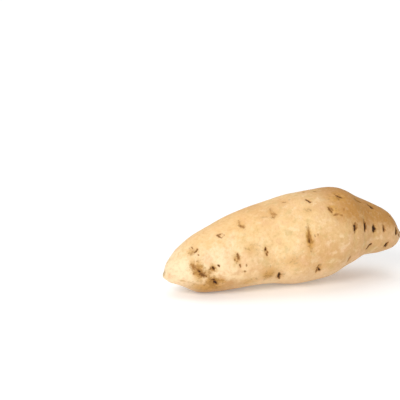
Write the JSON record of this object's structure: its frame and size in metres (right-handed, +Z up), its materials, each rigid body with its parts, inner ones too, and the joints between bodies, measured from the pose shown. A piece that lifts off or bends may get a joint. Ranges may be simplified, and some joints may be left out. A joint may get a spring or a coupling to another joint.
{
  "type": "sweet potato",
  "caption": "White-skinned sweet potato, a plump tapering root with rows of dark eyes, lying on its side on small flat spots.",
  "frame": {"origin": "on the surface that the root rests on, under the middle of its bounding box", "axes": "+X along the root from the tail to the crown, -Y the side that the picture shows, +Z up"},
  "size_m": [0.182, 0.0672, 0.0669],
  "materials": {
    "skin": "thin dry cream skin, matte to slightly waxy, with dark brown eyes and olive-brown stains"
  },
  "bodies": {
    "root": {"sweet_potato": "skin"}
  },
  "joints": []
}
